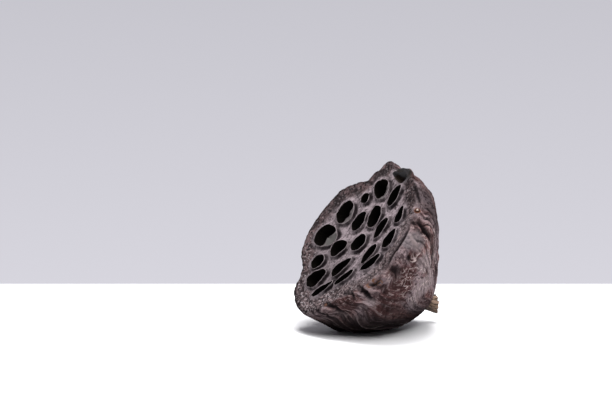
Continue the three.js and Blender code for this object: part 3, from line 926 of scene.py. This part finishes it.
def flank_colour(make, space, long_space):
    """Red brown and mauve grey skin with streaks, stains and pale squiggles, and painted shading toward the
    floor.
    """
    wide_space = make.scaled(space, (1, 1, 2.2))
    patch = make.texture(space, 0.075, 4.0, 0.6, 0.4)
    streak = make.texture(long_space, 0.36, 4.0, 0.62)
    grain = make.texture(wide_space, 0.55, 3.0, 0.65, 0.2)
    squiggle = make.lines(wide_space, 0.26, 0.03, 1.5, 0.6)
    red = make.mask("red")
    pale = make.mask("pale")
    return make.coats(make.blend(make.ramp(patch, 0.36, 0.64), FLANK_BROWN, FLANK_MAUVE), [
        (make.times(red, 0.9), RED_STAIN),
        (make.times(pale, 0.8), PALE_SKIN),
        (make.ramp(streak, 0.51, 0.38, 0.0, 0.72), STREAK_DARK),
        (make.ramp(streak, 0.55, 0.66, 0.0, 0.7), STREAK_PALE),
        (make.ramp(grain, 0.48, 0.38, 0.0, 0.75), GRAIN_DARK),
        (make.ramp(grain, 0.55, 0.65, 0.0, 0.7), GRAIN_PALE),
        (make.times(red, 0.15), RED_GLAZE),
        (make.times(make.mask("ash"), 0.75), ASH_GREY),
        (make.times(pale, 0.3), PALE_SKIN),
        (make.times(squiggle, make.mask("net")), SQUIGGLE),
        (make.times(make.mask("vein"), 0.5), VEIN),
        # painted shading toward the floor
        (make.times(make.mask("under"), 0.96), UNDERSIDE_SHADE),
    ])


def face_colour(make, even_space, fine, speck, cloud):
    """Pale webs between the pits, painted darker toward the face's left as shading, a gritty margin and
    pale lips round the mouths.
    """
    web = make.coats(make.blend(make.ramp(fine, 0.36, 0.62), WEB_DARK, WEB_PALE), [
        (make.ramp(cloud, 0.45, 0.65, 0.0, 0.6), WEB_CLOUD),
        (make.ramp(speck, 0.43, 0.35, 0.0, 0.8), WEB_SPECK),
        # painted shading toward the left of the face
        (make.times(make.mask("dim"), 0.4), WEB_LEFT_SHADE),
    ])
    tone = make.mask("tone")
    grit = make.mask("grit")
    bare = make.ramp(tone, 0.35, 0.7, 1.0, 0.6)
    dark_margin = make.blend(make.ramp(cloud, 0.42, 0.58), MARGIN_BLACK, MARGIN_BROWN)
    pale_margin = make.blend(make.ramp(fine, 0.38, 0.62), MARGIN_SOOT, MARGIN_PALE)
    margin_skin = make.coats(make.blend(tone, dark_margin, pale_margin), [
        (make.times(make.lines(even_space, 300.0, 0.05), 0.6), MARGIN_SPECK),
        (make.times(make.ramp(speck, 0.48, 0.41), bare), MARGIN_SPECK),
        (make.times(make.ramp(make.dots(even_space, 560.0), 0.46, 0.32), grit), GRIT_DARK),
        (make.times(make.ramp(make.dots(even_space, 610.0), 0.36, 0.22), grit), GRIT_PALE),
    ])
    return make.coats(web, [
        (make.mask("margin"), margin_skin),
        (make.times(make.mask("lip"), 0.7), LIP_PALE),
    ])


def pod_material():
    """Dried skin: the face and the flank, and over them painted shading in hollows, creases and grooves,
    pale ridges that are partly painted highlight, rust, the nub with a painted highlight, flaps, and pits
    painted black as shading.
    """
    make = Nodes(bpy.data.materials.new("dried_pod_skin"), "Principled BSDF")
    space = make.vector("skin_space")
    long_space = make.scaled(space, (1, 1, 0.3))
    even_space = make.add("ShaderNodeTexCoord", {})["Object"]
    convexity = make.add("ShaderNodeNewGeometry", {})["Pointiness"]
    fine = make.texture(even_space, 700.0, 4.0, 0.6)
    speck = make.texture(even_space, 480.0, 2.0, 0.6)
    cloud = make.texture(even_space, 120.0, 3.0, 0.6, 0.5)
    flank = make.mask("flank")
    nub = make.mask("nub")
    pocket = make.blend(make.ramp(cloud, 0.42, 0.58), POCKET_BROWN, POCKET_GREY)
    colour = make.coats(face_colour(make, even_space, fine, speck, cloud), [
        (flank, flank_colour(make, space, long_space)),
        # painted shading in the concave hollows of the mesh
        (make.ramp(convexity, 0.50, 0.42, 0.0, 0.8), HOLLOW_SHADE),
        # pale on the flank's sharp ridges: partly painted highlight, partly pale wear
        (make.times(make.ramp(convexity, 0.52, 0.62, 0.0, 0.5), flank), RIDGE_HIGHLIGHT_AND_WEAR),
        # painted shading of creases, collar sides and grooves, together with the darker skin of the far
        # edge and grey patches
        (make.times(make.mask("shade"), 0.98), SHADE_AND_DARK_SKIN_BLACK),
        (make.times(make.mask("rust"), make.ramp(speck, 0.40, 0.56)), RUST),
        (make.ramp(nub, 0.40, 0.52, 0.0, 0.9), NUB_RED),
        (make.ramp(nub, 0.56, 0.64, 0.0, 0.9), NUB_RING),
        # painted highlight on the nub's top
        (make.ramp(nub, 0.76, 0.88), NUB_HIGHLIGHT),
        (make.mask("flap"), FLAP_GREY),
        (make.mask("pocket"), pocket),
        # painted shading: the pits are near black inside
        (make.mask("inside"), PIT_SHADE_BLACK),
    ])
    rough = make.ramp(fine, 0.3, 0.7, 0.7, 0.95)
    grains = make.bump(make.texture(even_space, 1200.0, 5.0, 0.65), 0.7, 0.0004)
    hairs = make.bump(make.texture(long_space, 1.0, 3.0, 0.6), 0.8, 0.0006, Normal=grains)
    make.fill(make.shader, {"Base Color": colour, "Roughness": rough, "Normal": hairs})
    make.fill(make.shader, {"Specular IOR Level": 0.0})
    return make.owner


def stem_material():
    """Tan brown fibres."""
    make = Nodes(bpy.data.materials.new("dried_stem"), "Principled BSDF")
    space = make.vector("skin_space")
    fibre = make.texture(space, 0.9, 4.0, 0.7, 0.3)
    patch = make.texture(space, 0.5, 3.0, 0.55)
    colour = make.blend(make.ramp(patch, 0.4, 0.65), STEM_BROWN, STEM_TAN)
    colour = make.blend(make.ramp(fibre, 0.55, 0.40), colour, STEM_DARK)
    fibres = make.bump(fibre, 0.7, 0.0004)
    make.fill(make.shader, {"Base Color": colour, "Roughness": 0.85, "Normal": fibres})
    return make.owner


# The pod
polygons = [face for block in quads + triangles for face in block.tolist()]
pod = make_object("pod", row, polygons, masks, pod_material())
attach(pod, "root")
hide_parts("receptacle")

# The stem stub, with a slanting torn end
along_grid, stem_grid = np.meshgrid(np.linspace(0, 1, STEM_RINGS), full_turn(STEM_AROUND), indexing="ij")
along = along_grid.ravel()
stem_angle = stem_grid.ravel()
fibre_space = circle(6, stem_angle, 1.6 * along)
torn = 0.4 * np.sin(3 * stem_angle + 1) + 0.3 * np.sin(5 * stem_angle) + 0.5 * noise(fibre_space, 1.4, 71)
slant = STEM_SLANT * np.cos(stem_angle) * along
stem_radius = STEM_RADIUS + STEM_FLARE * along ** 2
stem_radius += STEM_RIB_HEIGHT * np.sin(STEM_RIBS * stem_angle + along)
stem_radius += 0.45 * (ridges(fibre_space, 1.6, 72) - 0.4) + 0.3 * noise(fibre_space, 0.8, 73)
stem_radius += 0.55 * noise(fibre_space * (1, 1, 4), 2.4, 75)
stem_skin = np.stack([
    TIP_U + STEM_SHIFT + STEM_DRIFT_U * along + stem_radius * np.cos(stem_angle),
    TIP_V + STEM_DRIFT_V * along + stem_radius * np.sin(stem_angle),
    -BODY_DEPTH - STEM_GAP - STEM_LENGTH * along + slant + torn * ease(0.8, 1.0, along),
], axis=-1)
edge_ring = stem_skin[-STEM_AROUND:]
edge_middle = edge_ring.mean(axis=0)
end_rings = []
for shrink in STEM_END:
    ring = edge_middle + (edge_ring - edge_middle) * shrink
    ring[:, 2] += 0.35 + 0.5 * noise(ring, 0.9, 74)
    end_rings.append(ring)
root_point = np.array([[TIP_U + STEM_SHIFT, TIP_V, -BODY_DEPTH - STEM_GAP]])
end_point = np.concatenate(end_rings).mean(axis=0, keepdims=True)
stem_points = np.concatenate([stem_skin, *end_rings, root_point, end_point])
end_number = len(stem_points) - 1
root_number = end_number - 1
last_start = root_number - STEM_AROUND
stem_faces = ring_quads(STEM_RINGS + len(end_rings), STEM_AROUND).tolist()
for number in range(STEM_AROUND):
    ahead = (number + 1) % STEM_AROUND
    stem_faces.append((root_number, number, ahead))
    stem_faces.append((end_number, last_start + ahead, last_start + number))
stem_space = stem_points.copy()
stem_space[:len(fibre_space)] = fibre_space
stem = make_object("stem", to_row(stem_points), stem_faces, {"skin_space": stem_space}, stem_material())
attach(stem, "root")
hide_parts("stem_stub")

# Camera at the photograph's angle
level_forward = np.array([-math.sin(CAMERA_AZIMUTH), math.cos(CAMERA_AZIMUTH), 0])
forward = level_forward * math.cos(CAMERA_DROP) - np.array([0, 0, math.sin(CAMERA_DROP)])
right = np.array([math.cos(CAMERA_AZIMUTH), math.sin(CAMERA_AZIMUTH), 0])
upward = np.cross(right, forward)
focal = LENS / SENSOR * IMAGE[0]


def through(pixel):
    """Direction from the camera through a pixel, 1 deep."""
    aside = (pixel[0] - IMAGE[0] / 2) / focal
    down = (pixel[1] - IMAGE[1] / 2) / focal
    return forward + aside * right - down * upward


eye = PLACE - CAMERA_DISTANCE * through(AIM_PIXEL)
camera_data = bpy.data.cameras.new("camera")
camera_data.lens = LENS
camera_data.sensor_width = SENSOR
camera_data.sensor_fit = "HORIZONTAL"
camera_data.clip_start = 0.01
camera_data.clip_end = 20
camera = bpy.data.objects.new("camera", camera_data)
camera_turn = Matrix((right, upward, -forward)).transposed().to_4x4()
camera.matrix_world = Matrix.Translation(Vector(eye * MM)) @ camera_turn
bpy.context.scene.collection.objects.link(camera)
bpy.context.scene.camera = camera

# Plain pale table that ends behind the pod, as in the photograph
ray = through((IMAGE[0] / 2, TABLE_EDGE_PIXEL))
back_edge = eye + ray * (-eye[2] / ray[2])
to_side = right * TABLE_HALF_WIDTH
to_front = -level_forward * TABLE_DEPTH
table_corners = np.array([
    back_edge - to_side,
    back_edge - to_side + to_front,
    back_edge + to_side + to_front,
    back_edge + to_side,
])
table_look = Nodes(bpy.data.materials.new("pale_table"), "Principled BSDF")
table_look.fill(table_look.shader, {"Base Color": (*TABLE_WHITE, 1), "Roughness": 0.6})
table = make_object("table", table_corners, [(0, 1, 2, 3)], {}, table_look.owner)

# Soft studio light from two round lamps
for name, lamp_spot, lamp_size, watts in LIGHTS:
    lamp_data = bpy.data.lights.new(name, "AREA")
    lamp_data.shape = "DISK"
    lamp_data.size = lamp_size * MM
    lamp_data.energy = watts
    lamp = bpy.data.objects.new(name, lamp_data)
    aim = Vector(LIGHT_AIM) - Vector(lamp_spot)
    lamp_turn = aim.to_track_quat("-Z", "Y").to_matrix().to_4x4()
    lamp.matrix_world = Matrix.Translation(Vector(lamp_spot) * MM) @ lamp_turn
    bpy.context.scene.collection.objects.link(lamp)

# Plain backdrop behind the table, in a dim grey room
world = bpy.data.worlds.new("studio")
bpy.context.scene.world = world
room = Nodes(world, "Background")
view = room.add("ShaderNodeTexCoord", {})["Generated"]
rise = room.add("ShaderNodeSeparateXYZ", {"Vector": view})["Z"]
backdrop = room.blend(room.ramp(rise, *BACKDROP_RISE, kind="LINEAR"), BACKDROP_LOW, BACKDROP_HIGH)
turn = room.add("ShaderNodeVectorMath", {0: view, 1: level_forward}, operation="DOT_PRODUCT")["Value"]
surroundings = room.blend(room.ramp(turn, *BACKDROP_TURN), ROOM_GREY, backdrop)
room.fill(room.shader, {"Color": surroundings, "Strength": 1.0})
bpy.context.scene.view_settings.view_transform = "Standard"
